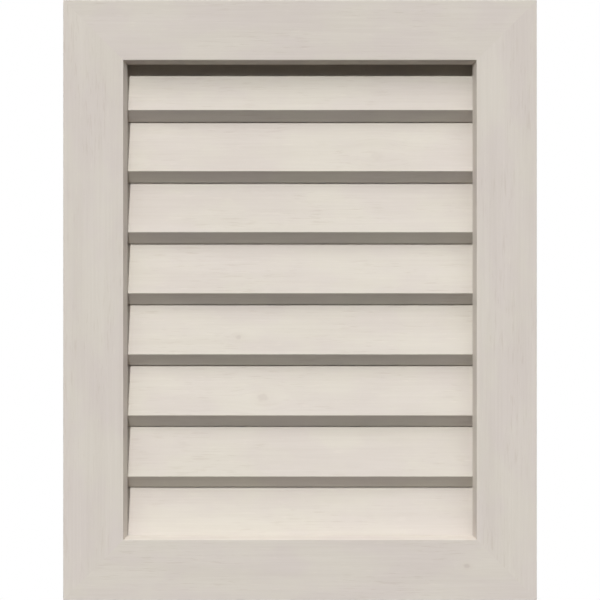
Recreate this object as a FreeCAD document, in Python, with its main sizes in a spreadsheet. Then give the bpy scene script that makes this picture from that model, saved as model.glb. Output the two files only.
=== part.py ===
"""Gable vent: a louvred wooden box behind a mitred trim frame, with a wire screen across its back.

Millimetres. The wall plane is y = 0: the trim lies in front of it (-Y) and the box behind it (+Y).
x = 0 and z = 0 are the middle of the vent, with +Z up.
"""
import FreeCAD, Part
import Sketcher
import os

SIZES = {
    # The whole vent
    "overall_width": 701.7,
    "overall_height": 889.0,
    # Trim boards, whose bevelled inner edge leans into the opening towards the back
    "trim_width": 88.9,
    "trim_thickness": 19.05,
    "trim_bevel": 5.1,
    "flange_width": 63.5,
    "groove_depth": 6.35,
    "edge_round": 0.8,
    # Splines that hold the mitres
    "spline_length": 50.0,
    "spline_width": 22.0,
    "spline_thickness": 4.0,
    # Box boards, and the room left between the louvers and the screen
    "board_thickness": 17.0,
    "back_space": 12.0,
    # Louvers
    "louver_count": 8,
    "louver_width": 114.3,
    "louver_thickness": 22.2,
    "air_gap": 2.0,
    "nose_drop": 17.3,
    "sill_rise": 10.0,
    # Square wire nails through the jambs, and headless pins from the trim into the box
    "nail_length": 45.0,
    "nail_wire": 1.6,
    "nail_head_width": 2.8,
    "nail_head_thickness": 1.0,
    "louver_nail_low": 20.0,
    "louver_nail_high": 62.0,
    "corner_nail_inset": 15.0,
    "pin_length": 38.0,
    "pin_wire": 1.6,
    "pin_cover": 2.0,
    "pin_inset": 75.0,
    "pins_in_rail": 4,
    "pins_in_stile": 5,
    # Wire screen, drawn as a coarse grid, and its staples
    "screen_columns": 10,
    "screen_rows": 12,
    "wire_width": 1.2,
    "wire_lap": 0.2,
    "staple_crown": 10.0,
    "staple_wire": 0.9,
    "staple_leg": 10.0,
    "staple_inset": 75.0,
    "staples_in_rail": 4,
    "staples_in_jamb": 6,
    # Play between pieces that slide together, and round a driven nail
    "fit_gap": 0.2,
    "nail_gap": 0.05,
}

doc = FreeCAD.newDocument("gable_vent")
sizes = doc.addObject("Spreadsheet::Sheet", "sizes")
for row, (name, value) in enumerate(SIZES.items(), start=1):
    sizes.set(f"A{row}", name)
    sizes.set(f"B{row}", str(value))
    sizes.setAlias(f"B{row}", name)
doc.recompute()

# Places and angles that follow from the sizes
layout = doc.addObject("App::VarSet", "layout")


def derive(name, expression):
    layout.addProperty("App::PropertyFloat", name)
    layout.setExpression(name, expression)


derive("box_x", "sizes.overall_width / 2 - sizes.flange_width")
derive("box_z", "sizes.overall_height / 2 - sizes.flange_width")
derive("inner_x", "layout.box_x - sizes.board_thickness")
derive("inner_z", "layout.box_z - sizes.board_thickness")
derive("pitch", "2 * layout.inner_z / sizes.louver_count")
derive("tilt", "asin((sizes.louver_thickness + sizes.air_gap) / layout.pitch)")
derive("nose_y", "sizes.fit_gap + sizes.sill_rise * tan(layout.tilt)")
derive("nose_run", "(sizes.louver_thickness - sizes.nose_drop * sin(layout.tilt)) / cos(layout.tilt)")
derive("lowest_nose_z", "sizes.sill_rise - layout.inner_z")
derive("top_room", "layout.inner_z - layout.lowest_nose_z - (sizes.louver_count - 1) * layout.pitch")
derive("louver_back", "layout.nose_y + layout.nose_run + sizes.louver_width * sin(layout.tilt)")
derive("box_back", "layout.louver_back + sizes.back_space")
derive("middle_y", "sizes.louver_thickness / 2 * cos(layout.tilt)")
derive("middle_z", "-sizes.louver_thickness / 2 * sin(layout.tilt)")
derive("nail_in_wood", "sizes.nail_length - sizes.board_thickness")
derive("wall_middle", "sizes.flange_width + sizes.board_thickness / 2")
derive("pin_in_trim", "sizes.trim_thickness - sizes.groove_depth - sizes.pin_cover")
derive("pin_in_box", "sizes.pin_length - layout.pin_in_trim")
derive("screen_x", "sizes.overall_width / 2 - layout.wall_middle")
derive("screen_z", "sizes.overall_height / 2 - layout.wall_middle")
derive("wire_step", "sizes.wire_width - sizes.wire_lap")
doc.recompute()

pieces = []
SAME_PLACE = 1e-4


def new_body(label):
    """An empty body, listed for export under its label."""
    body = doc.addObject("PartDesign::Body", label)
    pieces.append(body)
    return body


def new_sketch(body, name, plane, offset="0"):
    """A sketch on one of the body's own planes, moved along that plane's normal."""
    sketch = body.newObject("Sketcher::SketchObject", f"{body.Name}_{name}")
    support = next(f for f in body.Origin.OriginFeatures if f.Role == plane)
    sketch.AttachmentSupport = (support, "")
    sketch.MapMode = "FlatFace"
    sketch.setExpression("AttachmentOffset.Base.z", offset)
    return sketch


def outline(sketch, corners):
    """A closed run of straight lines through corners given as expressions."""
    points = [FreeCAD.Vector(*(float(sketch.evalExpression(e)) for e in c), 0) for c in corners]
    lines = sketch.addGeometry([Part.LineSegment(p, q) for p, q in zip(points, points[1:] + points[:1])])
    joins = [
        Sketcher.Constraint("Coincident", line, 2, following, 1)
        for line, following in zip(lines, lines[1:] + lines[:1])
    ]
    # Both coordinates of each corner are measured from the sketch's origin
    places = []
    for line, point in zip(lines, points):
        places.append(Sketcher.Constraint("DistanceX", -1, 1, line, 1, point.x))
        places.append(Sketcher.Constraint("DistanceY", -1, 1, line, 1, point.y))
    sketch.addConstraint(joins)
    expressions = [expression for corner in corners for expression in corner]
    for index, expression in zip(sketch.addConstraint(places), expressions):
        sketch.setExpression(f"Constraints[{index}]", expression)


def rectangle(sketch, left, right, bottom, top):
    outline(sketch, [(left, bottom), (right, bottom), (right, top), (left, top)])


def squares(sketch, centres, side):
    """Equal squares round centres given as expressions."""
    half = f"({side}) / 2"
    for x, y in centres:
        rectangle(sketch, f"{x} - {half}", f"{x} + {half}", f"{y} - {half}", f"{y} + {half}")


def pad(body, sketch, length, symmetric=False, reverse=False):
    feature = body.newObject("PartDesign::Pad", f"{sketch.Name}_pad")
    feature.Profile = sketch
    feature.SideType = "Symmetric" if symmetric else "One side"
    feature.Reversed = reverse
    feature.setExpression("Length", length)
    doc.recompute()


def pocket(body, sketch, length, symmetric=False, reverse=False):
    """Cut the sketch into the body, and stop if that took no wood away."""
    before = body.Shape.Volume
    feature = body.newObject("PartDesign::Pocket", f"{sketch.Name}_cut")
    feature.Profile = sketch
    feature.SideType = "Symmetric" if symmetric else "One side"
    feature.Reversed = reverse
    feature.setExpression("Length", length)
    doc.recompute()
    if body.Shape.Volume >= before:
        raise RuntimeError(f"{feature.Name} cut nothing")


def ease_edges(body, corners):
    """Round the long edges that run along X through the given (y, z) corners."""
    places = [[float(layout.evalExpression(e)) for e in corner] for corner in corners]
    base = body.Tip
    names = []
    for number, edge in enumerate(base.Shape.Edges, start=1):
        ends = [v.Point for v in edge.Vertexes]
        for y, z in places:
            if all(p.isEqual(FreeCAD.Vector(p.x, y, z), SAME_PLACE) for p in ends):
                names.append(f"Edge{number}")
    feature = body.newObject("PartDesign::Fillet", f"{body.Name}_eased")
    feature.Base = (base, names)
    feature.setExpression("Radius", "sizes.edge_round")
    doc.recompute()


def count_of(name):
    return int(sizes.get(name))


def spread(count, reach):
    """Places of a row of fixings, spread evenly from -reach to +reach."""
    return [f"({reach}) * (2 * {number} / (sizes.{count} - 1) - 1)" for number in range(count_of(count))]


rail_pins = spread("pins_in_rail", "layout.box_x - sizes.pin_inset")
stile_pins = spread("pins_in_stile", "layout.box_z - sizes.pin_inset")
rail_staples = spread("staples_in_rail", "layout.screen_x - sizes.staple_inset")
jamb_staples = spread("staples_in_jamb", "layout.screen_z - sizes.staple_inset")


# Trim boards: a ripped section, cut to 45 degrees at both ends


def trim_board(label, length, pins, turn, edge):
    """One board along its own X, outer edge at z = 0, turned about Y and moved out to its side."""
    body = new_body(label)
    groove_outer = "-(sizes.flange_width - sizes.fit_gap)"
    groove_inner = "-(sizes.flange_width + sizes.board_thickness + sizes.fit_gap)"
    front_outer = ("-sizes.trim_thickness", "0")
    front_inner = ("-sizes.trim_thickness", "-sizes.trim_width")
    section = new_sketch(body, "section", "YZ_Plane")
    outline(section, [
        front_outer,
        front_inner,
        ("0", "-(sizes.trim_width + sizes.trim_bevel)"),
        ("0", groove_inner),
        ("-sizes.groove_depth", groove_inner),
        ("-sizes.groove_depth", groove_outer),
        ("0", groove_outer),
        ("0", "0"),
    ])
    pad(body, section, f"sizes.{length}", symmetric=True)
    ease_edges(body, [front_outer, front_inner])

    half = f"sizes.{length} / 2"
    # The cutting outline reaches past the wood by the trim's thickness
    past = "sizes.trim_thickness"
    reach = f"(sizes.trim_width + sizes.trim_bevel + {past})"
    mitres = new_sketch(body, "mitres", "XZ_Plane")
    for sign in ("", "-"):
        outline(mitres, [
            (f"{sign}({half} + {past})", past),
            (f"{sign}({half} + {past})", f"-{reach}"),
            (f"{sign}({half} - {reach})", f"-{reach}"),
        ])
    pocket(body, mitres, f"2 * (sizes.trim_thickness + {past})", symmetric=True)

    slots = new_sketch(body, "spline_slots", "XZ_Plane", "sizes.trim_thickness / 2")
    long_half = "(sizes.spline_length / 2 + sizes.fit_gap) * cos(45)"
    wide_half = "(sizes.spline_width / 2 + sizes.fit_gap) * cos(45)"
    for sign in ("", "-"):
        centre = f"({half} - sizes.trim_width / 2)"
        outline(slots, [
            (f"{sign}({centre} + {a} + {b})", f"-sizes.trim_width / 2 + {a} - {b}")
            for a, b in (
                (long_half, wide_half),
                (f"-{long_half}", wide_half),
                (f"-{long_half}", f"-{wide_half}"),
                (long_half, f"-{wide_half}"),
            )
        ])
    pocket(body, slots, "sizes.spline_thickness + 2 * sizes.fit_gap", symmetric=True)

    holes = new_sketch(body, "pin_holes", "XZ_Plane", "sizes.groove_depth")
    squares(holes, [(x, "-layout.wall_middle") for x in pins], "sizes.pin_wire + 2 * sizes.nail_gap")
    pocket(body, holes, "layout.pin_in_trim", reverse=True)

    body.Placement.Rotation = FreeCAD.Rotation(FreeCAD.Vector(0, 1, 0), turn)
    for axis, expression in edge.items():
        body.setExpression(f"Placement.Base.{axis}", expression)


half_width, half_height = "sizes.overall_width / 2", "sizes.overall_height / 2"
trim_board("trim_top_rail", "overall_width", rail_pins, 0, {"z": half_height})
trim_board("trim_right_stile", "overall_height", stile_pins, 90, {"x": half_width})
trim_board("trim_bottom_rail", "overall_width", rail_pins, 180, {"z": f"-{half_height}"})
trim_board("trim_left_stile", "overall_height", stile_pins, 270, {"x": f"-{half_width}"})


# Splines across the four mitres, halfway through the trim's thickness
splines = doc.addObject("Part::Compound", "mitre_splines")
pieces.append(splines)
for x_sign, z_sign in ((1, 1), (1, -1), (-1, 1), (-1, -1)):
    spline = doc.addObject("Part::Box", "spline")
    spline.setExpression("Length", "sizes.spline_length")
    spline.setExpression("Width", "sizes.spline_thickness")
    spline.setExpression("Height", "sizes.spline_width")
    lean = -45 * x_sign * z_sign
    spline.Placement.Rotation = FreeCAD.Rotation(FreeCAD.Vector(0, 1, 0), lean)
    # The box starts at its corner, so its corner is set back from the middle of the mitre
    long_x, long_z = "sizes.spline_length / 2 * cos(45)", "sizes.spline_length / 2 * sin(45)"
    wide_x, wide_z = "sizes.spline_width / 2 * sin(45)", "sizes.spline_width / 2 * cos(45)"
    side = x_sign * z_sign
    x_middle = f"{x_sign} * ({half_width} - sizes.trim_width / 2)"
    z_middle = f"{z_sign} * ({half_height} - sizes.trim_width / 2)"
    spline.setExpression("Placement.Base.x", f"{x_middle} - {long_x} + {side} * {wide_x}")
    spline.setExpression("Placement.Base.y", "-(sizes.trim_thickness + sizes.spline_thickness) / 2")
    spline.setExpression("Placement.Base.z", f"{z_middle} - {side} * {long_z} - {wide_z}")
    splines.Links = splines.Links + [spline]


# Louvers, counted from the top


def nose_z(number):
    return f"(layout.lowest_nose_z + (sizes.louver_count - {number}) * layout.pitch)"


louver_nails = [
    (f"(layout.middle_y + {up} * sin(layout.tilt))", f"(layout.middle_z + {up} * cos(layout.tilt))")
    for up in ("sizes.louver_nail_low", "sizes.louver_nail_high")
]
nail_hole = "sizes.nail_wire + 2 * sizes.nail_gap"


def louver(number):
    """A leaning board whose front lower arris, the nose, is its body's origin."""
    body = new_body(f"louver_{number}")
    nose = ("0", "0")
    heel = ("layout.nose_run", "-sizes.nose_drop")
    lower = [nose, heel]
    if number == count_of("louver_count"):
        lower = [
            ("-sizes.sill_rise * tan(layout.tilt)", "-sizes.sill_rise"),
            ("layout.nose_run + (sizes.nose_drop - sizes.sill_rise) * tan(layout.tilt)", "-sizes.sill_rise"),
        ]
    back_y = "layout.nose_run + sizes.louver_width * sin(layout.tilt)"
    back_z = "sizes.louver_width * cos(layout.tilt) - sizes.nose_drop"
    upper = [
        (back_y, back_z),
        (
            f"{back_y} - sizes.louver_thickness * cos(layout.tilt)",
            f"{back_z} + sizes.louver_thickness * sin(layout.tilt)",
        ),
    ]
    if number == 1:
        upper = [
            ("layout.nose_run + (layout.top_room + sizes.nose_drop) * tan(layout.tilt)", "layout.top_room"),
            ("layout.top_room * tan(layout.tilt)", "layout.top_room"),
        ]
    section = new_sketch(body, "section", "YZ_Plane")
    outline(section, lower + upper)
    pad(body, section, "2 * layout.inner_x", symmetric=True)
    if lower[0] is nose:
        ease_edges(body, [nose, heel])
    for end, reverse in (("layout.inner_x", False), ("-layout.inner_x", True)):
        holes = new_sketch(body, "nail_holes", "YZ_Plane", end)
        squares(holes, louver_nails, nail_hole)
        pocket(body, holes, "layout.nail_in_wood", reverse=reverse)
    body.setExpression("Placement.Base.y", "layout.nose_y")
    body.setExpression("Placement.Base.z", nose_z(number))


louver_numbers = range(1, count_of("louver_count") + 1)
for number in louver_numbers:
    louver(number)


# Box boards: two jambs the full height, with the head and the sill nailed between them

corner_nail_ys = ("sizes.corner_nail_inset", "layout.box_back - sizes.corner_nail_inset")
box_front = "-sizes.groove_depth"


def staple_holes(body, places, crown_along):
    """Two square leg holes for each staple, which straddles the screen's border wire."""
    sketch = new_sketch(body, "staple_holes", "XZ_Plane", "-layout.box_back")
    leg = "(sizes.staple_crown - sizes.staple_wire) / 2"
    legs = [(x, f"{z} {sign} {leg}") for x, z in places for sign in ("+", "-")]
    if crown_along == "x":
        legs = [(f"{x} {sign} {leg}", z) for x, z in places for sign in ("+", "-")]
    squares(sketch, legs, "sizes.staple_wire + 2 * sizes.nail_gap")
    pocket(body, sketch, "sizes.staple_leg", reverse=True)


def rail_board(label, side):
    """The head (side 1) or the sill (side -1)."""
    body = new_body(label)
    z_outer, z_inner = f"{side} * layout.box_z", f"{side} * layout.inner_z"
    section = new_sketch(body, "section", "YZ_Plane")
    rectangle(section, box_front, "layout.box_back", z_inner, z_outer)
    pad(body, section, "2 * layout.inner_x", symmetric=True)
    z_middle = f"{side} * layout.screen_z"
    for end, reverse in (("layout.inner_x", False), ("-layout.inner_x", True)):
        holes = new_sketch(body, "nail_holes", "YZ_Plane", end)
        squares(holes, [(y, z_middle) for y in corner_nail_ys], nail_hole)
        pocket(body, holes, "layout.nail_in_wood", reverse=reverse)
    pins = new_sketch(body, "pin_holes", "XZ_Plane", "sizes.groove_depth")
    squares(pins, [(x, z_middle) for x in rail_pins], "sizes.pin_wire + 2 * sizes.nail_gap")
    pocket(body, pins, "layout.pin_in_box")
    staple_holes(body, [(x, z_middle) for x in rail_staples], "z")


def jamb_board(label, side):
    """The right jamb (side 1) or the left one (side -1)."""
    body = new_body(label)
    section = new_sketch(body, "section", "XZ_Plane", "sizes.groove_depth")
    rectangle(section, f"{side} * layout.inner_x", f"{side} * layout.box_x", "-layout.box_z", "layout.box_z")
    pad(body, section, "layout.box_back + sizes.groove_depth", reverse=True)
    centres = [(y, f"{end} * layout.screen_z") for y in corner_nail_ys for end in (1, -1)]
    for number in louver_numbers:
        centres += [(f"layout.nose_y + {y}", f"{nose_z(number)} + {z}") for y, z in louver_nails]
    outer = f"{side} * layout.box_x"
    for name, side_length, depth in (
        ("head_recesses", "sizes.nail_head_width + 2 * sizes.nail_gap", "sizes.nail_head_thickness"),
        ("nail_holes", nail_hole, "sizes.board_thickness"),
    ):
        holes = new_sketch(body, name, "YZ_Plane", outer)
        squares(holes, centres, side_length)
        pocket(body, holes, depth, reverse=side < 0)
    x_middle = f"{side} * layout.screen_x"
    pins = new_sketch(body, "pin_holes", "XZ_Plane", "sizes.groove_depth")
    squares(pins, [(x_middle, z) for z in stile_pins], "sizes.pin_wire + 2 * sizes.nail_gap")
    pocket(body, pins, "layout.pin_in_box")
    staple_holes(body, [(x_middle, z) for z in jamb_staples], "x")


rail_board("box_head", 1)
rail_board("box_sill", -1)
jamb_board("box_right_jamb", 1)
jamb_board("box_left_jamb", -1)


# Wire screen: upright wires on the box's back edges, with cross wires welded over them


def bar(low, size):
    """A plain bar from its low corner and its three lengths, all expressions."""
    solid = doc.addObject("Part::Box", "bar")
    for axis, place in zip("xyz", low):
        solid.setExpression(f"Placement.Base.{axis}", place)
    for side, length in zip(("Length", "Width", "Height"), size):
        solid.setExpression(side, length)
    return solid


def joined(name, solids):
    """Touching bars made into one solid."""
    whole = doc.addObject("Part::MultiFuse", name)
    whole.Shapes = solids
    whole.Refine = True
    return whole


wire = "sizes.wire_width"
wires = []
for column in range(count_of("screen_columns") + 1):
    x = f"layout.screen_x * (2 * {column} / sizes.screen_columns - 1) - {wire} / 2"
    height = f"2 * layout.screen_z + {wire}"
    wires.append(bar((x, "layout.box_back", f"-({height}) / 2"), (wire, wire, height)))
for row in range(count_of("screen_rows") + 1):
    z = f"layout.screen_z * (2 * {row} / sizes.screen_rows - 1) - {wire} / 2"
    width = f"2 * layout.screen_x + {wire}"
    wires.append(bar((f"-({width}) / 2", "layout.box_back + layout.wire_step", z), (width, wire, wire)))
pieces.append(joined("insect_screen", wires))


# Driven fixings, each group a set of separate solids


def fixing_group(label, solids):
    group = doc.addObject("Part::Compound", label)
    group.Links = solids
    pieces.append(group)


def nail(side, y, z):
    """A nail driven from the outside of a jamb, its head level with the wood."""
    lengths = (
        ("sizes.nail_head_width", "sizes.nail_head_thickness"),
        ("sizes.nail_wire", "sizes.nail_length"),
    )
    bars = []
    for wide, length in lengths:
        x = f"layout.box_x - {length}" if side > 0 else "-layout.box_x"
        bars.append(bar((x, f"{y} - {wide} / 2", f"{z} - {wide} / 2"), (length, wide, wide)))
    return joined("nail", bars)


def pin(x, z):
    """A headless pin from under the trim's face into the front edge of the box."""
    wide = "sizes.pin_wire"
    start = "sizes.pin_cover - sizes.trim_thickness"
    return bar((f"{x} - {wide} / 2", start, f"{z} - {wide} / 2"), (wide, "sizes.pin_length", wide))


def staple(x, z, crown_along):
    """A crown over the border wire and a leg under each end of it."""
    wide = "sizes.staple_wire"
    lift = "sizes.wire_width" if crown_along == "x" else "sizes.wire_width + layout.wire_step"
    crown_y = f"layout.box_back + {lift}"
    leg_y = f"{crown_y} + {wide} - sizes.staple_leg"
    x_low, z_low = f"{x} - {wide} / 2", f"{z} - {wide} / 2"
    leg_size = (wide, "sizes.staple_leg", wide)
    legs_apart = f"(sizes.staple_crown - {wide})"
    if crown_along == "x":
        x_low = f"{x} - sizes.staple_crown / 2"
        crown_size = ("sizes.staple_crown", wide, wide)
        far_leg = (f"{x_low} + {legs_apart}", leg_y, z_low)
    else:
        z_low = f"{z} - sizes.staple_crown / 2"
        crown_size = (wide, wide, "sizes.staple_crown")
        far_leg = (x_low, leg_y, f"{z_low} + {legs_apart}")
    crown = bar((x_low, crown_y, z_low), crown_size)
    return joined("staple", [crown, bar((x_low, leg_y, z_low), leg_size), bar(far_leg, leg_size)])


both = (1, -1)
fixing_group("louver_nails", [
    nail(side, f"layout.nose_y + {y}", f"{nose_z(number)} + {z}")
    for number in louver_numbers
    for y, z in louver_nails
    for side in both
])
fixing_group("corner_nails", [
    nail(side, y, f"{end} * layout.screen_z")
    for y in corner_nail_ys
    for end in both
    for side in both
])
fixing_group(
    "trim_pins",
    [pin(x, f"{side} * layout.screen_z") for x in rail_pins for side in both]
    + [pin(f"{side} * layout.screen_x", z) for z in stile_pins for side in both],
)
fixing_group(
    "screen_staples",
    [staple(x, f"{side} * layout.screen_z", "z") for x in rail_staples for side in both]
    + [staple(f"{side} * layout.screen_x", z, "x") for z in jamb_staples for side in both],
)

# Check every object, then write one STEP file for each piece
doc.recompute()
for item in doc.Objects:
    if "Invalid" in item.State or not item.isValid():
        raise RuntimeError(f"{item.Label} did not compute: {item.State}")
os.makedirs("parts", exist_ok=True)
for piece in pieces:
    shape = piece.Shape
    if shape.isNull() or not shape.isValid() or not shape.Solids:
        raise RuntimeError(f"{piece.Label} has no sound solid")
    shape.exportStep(f"parts/{piece.Label}.step")
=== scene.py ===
import math
import bmesh
import bpy
from mathutils import Matrix, Vector


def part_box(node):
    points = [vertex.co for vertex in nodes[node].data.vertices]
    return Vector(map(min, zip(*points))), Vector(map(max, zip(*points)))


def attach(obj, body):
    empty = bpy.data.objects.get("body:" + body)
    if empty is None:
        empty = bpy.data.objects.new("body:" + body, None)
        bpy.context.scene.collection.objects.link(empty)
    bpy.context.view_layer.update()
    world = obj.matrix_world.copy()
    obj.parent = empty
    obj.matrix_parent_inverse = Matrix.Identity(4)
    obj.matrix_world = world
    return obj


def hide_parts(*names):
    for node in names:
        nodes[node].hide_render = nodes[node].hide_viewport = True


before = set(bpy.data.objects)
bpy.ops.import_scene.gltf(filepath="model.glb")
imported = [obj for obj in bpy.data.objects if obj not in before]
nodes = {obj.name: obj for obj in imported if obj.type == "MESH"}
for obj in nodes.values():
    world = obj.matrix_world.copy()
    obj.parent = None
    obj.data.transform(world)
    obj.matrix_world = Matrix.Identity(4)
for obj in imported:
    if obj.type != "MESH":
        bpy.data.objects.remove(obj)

# Trim: four boards of solid pine, mitred at the corners and sprayed with a warm off-white primer.
# The coat is thin, so the grain of each board and a few sealed knots show through it faintly.
trim_primer = (0.760, 0.706, 0.645, 1.0)
small_knot = 0.004
# A board without a knot has it far off the vent
no_knot = (0.0, 0.0, 9.0)


def node(tree, kind, values, **settings):
    """Add a shader node. Each value is a number or colour, or the output that feeds the socket."""
    made = tree.nodes.new(kind)
    for name, setting in settings.items():
        setattr(made, name, setting)
    for socket, value in values.items():
        if isinstance(value, bpy.types.NodeSocket):
            tree.links.new(value, made.inputs[socket])
        else:
            made.inputs[socket].default_value = value
    return made


def shader_group(name, inputs, outputs):
    """An empty node group with named sockets, and its input and output nodes."""
    tree = bpy.data.node_groups.new(name, "ShaderNodeTree")
    for label, kind in inputs:
        tree.interface.new_socket(label, in_out="INPUT", socket_type=kind)
    for label, kind in outputs:
        tree.interface.new_socket(label, in_out="OUTPUT", socket_type=kind)
    return tree, tree.nodes.new("NodeGroupInput"), tree.nodes.new("NodeGroupOutput")


def vectors(tree, operation, first, second):
    """The vector output of a sum, difference or product of two vectors."""
    return node(tree, "ShaderNodeVectorMath", {0: first, 1: second}, operation=operation).outputs["Vector"]


def numbers(tree, operation, first, second):
    """The output of a sum, difference, product or the like of two numbers."""
    return node(tree, "ShaderNodeMath", {0: first, 1: second}, operation=operation).outputs["Value"]


def length(tree, vector):
    """The length of a vector."""
    return node(tree, "ShaderNodeVectorMath", {0: vector}, operation="LENGTH").outputs["Value"]


def noise(tree, vector, scale, detail, roughness):
    """A noise value over a vector stretched by the scale, in repeats for each metre."""
    stretched = vectors(tree, "MULTIPLY", vector, scale)
    values = {"Vector": stretched, "Scale": 1.0, "Detail": detail, "Roughness": roughness}
    return node(tree, "ShaderNodeTexNoise", values).outputs["Fac"]


def mixed(tree, factor, first, second, blend="MIX"):
    """The colour output of a mix of two colours. The node's colour sockets go by number."""
    values = {0: factor, 6: first, 7: second}
    return node(tree, "ShaderNodeMix", values, data_type="RGBA", blend_type=blend).outputs[2]


def ranged(tree, value, low, high, to_low=0.0, to_high=1.0):
    """A value eased from one range to another."""
    values = {"Value": value, "From Min": low, "From Max": high, "To Min": to_low, "To Max": to_high}
    return node(tree, "ShaderNodeMapRange", values, interpolation_type="SMOOTHSTEP").outputs["Result"]


pine, pine_in, pine_out = shader_group(
    "primed_pine",
    [
        ("Vector", "NodeSocketVector"),
        ("Knot Place", "NodeSocketVector"),
        ("Knot Size", "NodeSocketFloat"),
        ("Knot Shade", "NodeSocketFloat"),
    ],
    [("Tint", "NodeSocketColor"), ("Height", "NodeSocketFloat")],
)
on_board = pine_in.outputs["Vector"]
# A knot is drawn out along the grain, and the grain bends round it
from_knot = vectors(pine, "SUBTRACT", on_board, pine_in.outputs["Knot Place"])
oval = vectors(pine, "MULTIPLY", from_knot, (0.62, 0.0, 1.0))
in_knot_sizes = numbers(pine, "DIVIDE", length(pine, oval), pine_in.outputs["Knot Size"])
ragged = noise(pine, on_board, (120.0, 120.0, 220.0), 2.0, 0.5)
from_heart = numbers(pine, "ADD", in_knot_sizes, ragged)
bend = ranged(pine, in_knot_sizes, 0.4, 5.0, 0.6, 0.0)
pulled = node(pine, "ShaderNodeVectorMath", {0: from_knot, "Scale": bend}, operation="SCALE")
bent = vectors(pine, "SUBTRACT", on_board, pulled.outputs["Vector"])
# Broad patches from greenish to pinkish tan, where the wood's own colour shows through the primer
patch = noise(pine, on_board, (9.0, 9.0, 17.0), 3.0, 0.55)
tint = mixed(pine, ranged(pine, patch, 0.36, 0.64), (1.0, 1.0, 0.982, 1.0), (0.974, 0.957, 0.968, 1.0))
cloud = noise(pine, bent, (3.0, 12.0, 30.0), 3.0, 0.55)
tint = mixed(pine, ranged(pine, cloud, 0.3, 0.7), tint, (0.965, 0.962, 0.957, 1.0), "MULTIPLY")
# Long faint growth lines, with short dark pores and pale flecks crowded into some stretches
lines = noise(pine, bent, (7.0, 70.0, 330.0), 4.0, 0.6)
tint = mixed(pine, ranged(pine, lines, 0.3, 0.7), tint, (0.970, 0.966, 0.960, 1.0), "MULTIPLY")
crowd = ranged(pine, noise(pine, on_board, (7.0, 11.0, 26.0), 2.0, 0.5), 0.42, 0.62)
pore = ranged(pine, noise(pine, bent, (34.0, 90.0, 430.0), 2.0, 0.5), 0.55, 0.72)
pores = numbers(pine, "MULTIPLY", crowd, pore)
tint = mixed(pine, pores, tint, (0.94, 0.927, 0.912, 1.0), "MULTIPLY")
fleck = ranged(pine, noise(pine, bent, (40.0, 60.0, 300.0), 2.0, 0.5), 0.6, 0.76, 0.0, 0.5)
tint = mixed(pine, fleck, tint, (1.06, 1.06, 1.06, 1.0), "MULTIPLY")
# The knot's heart, in a paler halo
knot_shows = pine_in.outputs["Knot Shade"]
halo = numbers(pine, "MULTIPLY", ranged(pine, from_heart, 3.2, 1.0, 0.0, 0.6), knot_shows)
tint = mixed(pine, halo, tint, (0.955, 0.945, 0.93, 1.0), "MULTIPLY")
heart = numbers(pine, "MULTIPLY", ranged(pine, from_heart, 1.5, 0.9), knot_shows)
tint = mixed(pine, heart, tint, (0.89, 0.868, 0.87, 1.0), "MULTIPLY")
pine.links.new(tint, pine_out.inputs["Tint"])
pine.links.new(numbers(pine, "SUBTRACT", lines, pores), pine_out.inputs["Height"])


def primed(name, primer, turn, shift, knot=no_knot, knot_size=small_knot, knot_shade=1.0):
    """Primed pine, its grain along X once turned (degrees), with a knot at a place on the vent."""
    material = bpy.data.materials.new(name)
    material.use_nodes = True
    tree = material.node_tree
    shader = tree.nodes["Principled BSDF"]
    place = tree.nodes.new("ShaderNodeTexCoord").outputs["Object"]
    angles = [math.radians(angle) for angle in turn]
    along = node(tree, "ShaderNodeMapping", {"Vector": place, "Location": shift, "Rotation": angles})
    turned = Matrix.Rotation(angles[1], 4, "Y") @ Matrix.Rotation(angles[0], 4, "X")
    knot_along = turned @ Vector(knot) + Vector(shift)
    values = {
        "Vector": along.outputs["Vector"],
        "Knot Place": knot_along,
        "Knot Size": knot_size,
        "Knot Shade": knot_shade,
    }
    wood = node(tree, "ShaderNodeGroup", values, node_tree=pine)
    coat = mixed(tree, 1.0, wood.outputs["Tint"], primer, "MULTIPLY")
    relief = {"Height": wood.outputs["Height"], "Strength": 0.25, "Distance": 0.0004}
    bump = node(tree, "ShaderNodeBump", relief)
    tree.links.new(coat, shader.inputs["Base Color"])
    tree.links.new(bump.outputs["Normal"], shader.inputs["Normal"])
    shader.inputs["Roughness"].default_value = 0.6
    shader.inputs["Specular IOR Level"].default_value = 0.25
    return material


def paint(name, material):
    """Give a CAD piece its finish."""
    nodes[name].data.materials.clear()
    nodes[name].data.materials.append(material)


level_grain = (0.0, 0.0, 0.0)
upright_grain = (0.0, 90.0, 0.0)
top_rail = primed("primed_top_rail", trim_primer, level_grain, (0.31, 0.0, 0.17))
right_stile = primed("primed_right_stile", trim_primer, upright_grain, (1.43, 0.0, 0.52))
low_knot = (0.247, 0.0, -0.394)
bottom_rail = primed("primed_bottom_rail", trim_primer, level_grain, (2.27, 0.0, 0.84), low_knot)
left_stile = primed("primed_left_stile", trim_primer, upright_grain, (3.61, 0.0, 1.29))
paint("trim_top_rail", top_rail)
paint("trim_right_stile", right_stile)
paint("trim_bottom_rail", bottom_rail)
paint("trim_left_stile", left_stile)

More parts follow.
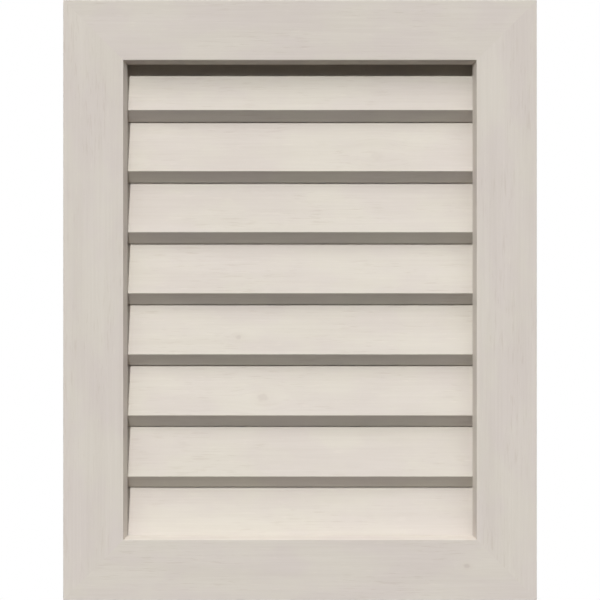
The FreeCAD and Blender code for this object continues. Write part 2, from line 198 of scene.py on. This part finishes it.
# Splines: slips of bare pine, glued across each mitre halfway through the trim's thickness.
# They are closed in once the frame is glued up, so their sawn faces are never primed.
bare = bpy.data.materials.new("bare_pine")
bare.use_nodes = True
tree = bare.node_tree
place = tree.nodes.new("ShaderNodeTexCoord").outputs["Object"]
across_mitre = (0.0, math.radians(45.0), 0.0)
along = node(tree, "ShaderNodeMapping", {"Vector": place, "Rotation": across_mitre})
sawn_lines = noise(tree, along.outputs["Vector"], (14.0, 300.0, 420.0), 5.0, 0.6)
sawn = mixed(tree, ranged(tree, sawn_lines, 0.3, 0.7), (0.66, 0.47, 0.28, 1.0), (0.52, 0.33, 0.17, 1.0))
tree.links.new(sawn, tree.nodes["Principled BSDF"].inputs["Base Color"])
tree.nodes["Principled BSDF"].inputs["Roughness"].default_value = 0.8
paint("mitre_splines", bare)

# Louvers: eight pine boards that lean back in the box, nailed through the jambs at both ends.
# They are primed on every face before they go in, each with its own grain and some with a knot.
louver_primer = (0.723, 0.674, 0.607, 1.0)
louver_count = 8
lean = 15.4
leaning_grain = (-lean, 0.0, 0.0)
louver_knots = {2: (0.115, 0.0, 0.212), 5: (-0.0917, 0.0, -0.0583), 6: (-0.0555, 0.0, -0.1481)}
knot_sizes = {2: 0.008, 5: 0.0035, 6: 0.0065}
knot_shades = {2: 0.3, 5: 0.75, 6: 0.7}
for number in range(1, louver_count + 1):
    knot = louver_knots.get(number, no_knot)
    size = knot_sizes.get(number, small_knot)
    shade = knot_shades.get(number, 1.0)
    # Each board shows another stretch of the grain
    shift = (0.83 * number, 0.0, 0.37 * number)
    board = primed(f"primed_louver_{number}", louver_primer, leaning_grain, shift, knot, size, shade)
    paint(f"louver_{number}", board)

# Box: head, sill and two jambs of the same primed pine, nailed at the corners.
# The front edges stand in the trim's groove, and the back edges carry the screen.
paint("box_head", primed("primed_head", trim_primer, level_grain, (5.1, 0.0, 2.3)))
paint("box_sill", primed("primed_sill", trim_primer, level_grain, (6.4, 0.0, 2.9)))
paint("box_right_jamb", primed("primed_right_jamb", trim_primer, upright_grain, (7.7, 0.0, 3.3)))
paint("box_left_jamb", primed("primed_left_jamb", trim_primer, upright_grain, (8.2, 0.0, 3.8)))

# Fixings: zinc-coated steel nails in the jambs, pins hidden under the trim's face, staples over the screen.
# The zinc is dull grey with a faint mottle.
zinc, zinc_in, zinc_out = shader_group(
    "mottled_zinc",
    [("Vector", "NodeSocketVector"), ("Zinc", "NodeSocketColor"), ("Dullness", "NodeSocketFloat")],
    [("Colour", "NodeSocketColor"), ("Roughness", "NodeSocketFloat")],
)
mottle = noise(zinc, zinc_in.outputs["Vector"], (700.0, 700.0, 700.0), 3.0, 0.6)
darker = mixed(zinc, 1.0, zinc_in.outputs["Zinc"], (0.7, 0.7, 0.7, 1.0), "MULTIPLY")
colour = mixed(zinc, ranged(zinc, mottle, 0.3, 0.7), zinc_in.outputs["Zinc"], darker)
duller = ranged(zinc, mottle, 0.3, 0.7, 0.0, 0.15)
zinc.links.new(colour, zinc_out.inputs["Colour"])
zinc.links.new(numbers(zinc, "ADD", zinc_in.outputs["Dullness"], duller), zinc_out.inputs["Roughness"])


def galvanised(name, colour, dullness):
    """Steel under a mottled coat of zinc."""
    material = bpy.data.materials.new(name)
    material.use_nodes = True
    tree = material.node_tree
    shader = tree.nodes["Principled BSDF"]
    place = tree.nodes.new("ShaderNodeTexCoord").outputs["Object"]
    values = {"Vector": place, "Zinc": colour, "Dullness": dullness}
    coat = node(tree, "ShaderNodeGroup", values, node_tree=zinc)
    tree.links.new(coat.outputs["Colour"], shader.inputs["Base Color"])
    tree.links.new(coat.outputs["Roughness"], shader.inputs["Roughness"])
    shader.inputs["Metallic"].default_value = 0.8
    return material


fixing_zinc = galvanised("galvanised_fixings", (0.50, 0.51, 0.52, 1.0), 0.35)
for name in ("louver_nails", "corner_nails", "trim_pins", "screen_staples"):
    paint(name, fixing_zinc)

# Screen: welded galvanised wire cloth, about eight meshes to the inch, stapled to the box's back edges.
# The upright wires lie on the wood with the cross wires welded over them, inside a thicker border.
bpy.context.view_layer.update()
screen_low, screen_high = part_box("insect_screen")
border_wire = 0.0012
mesh_wire = 0.0007
wire_sides = 6
columns = 173
rows = 232
reach = Vector(((screen_high[0] - screen_low[0]) / 2, 0.0, (screen_high[2] - screen_low[2]) / 2))
edge = reach - Vector((border_wire / 2, 0.0, border_wire / 2))
upright_y = screen_low[1] + border_wire / 2
cross_y = screen_high[1] - border_wire / 2
cloth = bmesh.new()


def wire(span, diameter, place, turn):
    """One straight wire through a place, upright unless turned."""
    bmesh.ops.create_cone(
        cloth,
        cap_ends=True,
        segments=wire_sides,
        radius1=diameter / 2,
        radius2=diameter / 2,
        depth=span,
        matrix=Matrix.Translation(place) @ turn,
    )


upright = Matrix.Identity(4)
level = Matrix.Rotation(math.radians(90.0), 4, "Y")
for column in range(columns + 1):
    diameter = border_wire if column in (0, columns) else mesh_wire
    x = edge.x * (2 * column / columns - 1)
    wire(2 * reach.z, diameter, Vector((x, upright_y, 0.0)), upright)
for row in range(rows + 1):
    diameter = border_wire if row in (0, rows) else mesh_wire
    z = edge.z * (2 * row / rows - 1)
    wire(2 * reach.x, diameter, Vector((0.0, cross_y, z)), level)
screen_mesh = bpy.data.meshes.new("wire_cloth")
cloth.to_mesh(screen_mesh)
cloth.free()
screen = bpy.data.objects.new("wire_cloth", screen_mesh)
bpy.context.scene.collection.objects.link(screen)
screen_mesh.materials.append(galvanised("galvanised_wire", (0.46, 0.47, 0.48, 1.0), 0.4))
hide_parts("insect_screen")
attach(screen, "root")

# Studio: a pale floor below the vent that fades into a white surround, under a distant key light
# from the upper left, with soft lights from the right, from overhead and from both sides behind.
scene = bpy.context.scene
floor_z = -1.5
floor_reach = 4.0
fade_from = 1.5
fade_to = 3.9
floor_glow = 0.95
faint_fill = 0.03
floor_mesh = bpy.data.meshes.new("floor")
slab = bmesh.new()
below = Matrix.Translation((0.0, 0.0, floor_z))
bmesh.ops.create_grid(slab, x_segments=1, y_segments=1, size=floor_reach, matrix=below)
slab.to_mesh(floor_mesh)
slab.free()
floor = bpy.data.objects.new("floor", floor_mesh)
scene.collection.objects.link(floor)
pale = bpy.data.materials.new("pale_floor")
pale.use_nodes = True
tree = pale.node_tree
place = tree.nodes.new("ShaderNodeTexCoord").outputs["Object"]
from_middle = length(tree, vectors(tree, "MULTIPLY", place, (1.0, 1.0, 0.0)))
fade = ranged(tree, from_middle, fade_from, fade_to)
clear = node(tree, "ShaderNodeBsdfTransparent", {})
shader = tree.nodes["Principled BSDF"]
shader.inputs["Base Color"].default_value = (0.05, 0.05, 0.05, 1.0)
shader.inputs["Roughness"].default_value = 0.9
shader.inputs["Specular IOR Level"].default_value = 0.0
shader.inputs["Emission Color"].default_value = (1.0, 1.0, 1.0, 1.0)
# It glows to the camera alone, so it looks pale and hardly lights the vent from below
camera_ray = tree.nodes.new("ShaderNodeLightPath").outputs["Is Camera Ray"]
tree.links.new(numbers(tree, "MULTIPLY", camera_ray, floor_glow), shader.inputs["Emission Strength"])
both = node(tree, "ShaderNodeMixShader", {0: fade, 1: shader.outputs["BSDF"], 2: clear.outputs["BSDF"]})
tree.links.new(both.outputs["Shader"], tree.nodes["Material Output"].inputs["Surface"])
floor_mesh.materials.append(pale)

world = bpy.data.worlds.new("surround")
scene.world = world
world.use_nodes = True
tree = world.node_tree
# White where it is seen, and only a faint fill where it lights
rays = tree.nodes.new("ShaderNodeLightPath").outputs
seen = numbers(tree, "MAXIMUM", rays["Is Camera Ray"], rays["Is Glossy Ray"])
seen = numbers(tree, "MAXIMUM", seen, rays["Is Transmission Ray"])
background = tree.nodes["Background"]
background.inputs["Color"].default_value = (1.0, 1.0, 1.0, 1.0)
tree.links.new(numbers(tree, "MAXIMUM", seen, faint_fill), background.inputs["Strength"])


def lamp(name, kind, place, energy, size):
    """A white lamp aimed at the vent's middle. The size is degrees for a sun, and metres otherwise."""
    data = bpy.data.lights.new(name, kind)
    data.energy = energy
    if kind == "SUN":
        data.angle = math.radians(size)
    else:
        data.size = size
    made = bpy.data.objects.new(name, data)
    made.location = place
    made.rotation_euler = (-Vector(place)).to_track_quat("-Z", "Y").to_euler()
    scene.collection.objects.link(made)


lamp("key", "SUN", (-0.13, -1.0, 0.58), 2.02, 1.0)
lamp("right", "SUN", (0.9, -0.9, 0.9), 0.72, 40.0)
lamp("overhead", "SUN", (-0.42, -0.6, 1.0), 0.94, 40.0)
lamp("back_right", "AREA", (2.0, 2.6, 1.4), 80.0, 1.5)
lamp("back_left", "AREA", (-2.0, 2.4, 1.0), 66.0, 1.5)

# Camera: straight in front at the height of the vent's middle, far off with a long lens.
# The whole height of the trim fills the frame.
distance = 3.919
camera_data = bpy.data.cameras.new("camera")
camera_data.sensor_width = 36.0
camera_data.lens = 157.93
camera = bpy.data.objects.new("camera", camera_data)
camera.location = (0.0, -distance, 0.0)
camera.rotation_euler = (math.radians(90.0), 0.0, 0.0)
scene.collection.objects.link(camera)
scene.camera = camera
scene.view_settings.view_transform = "Standard"
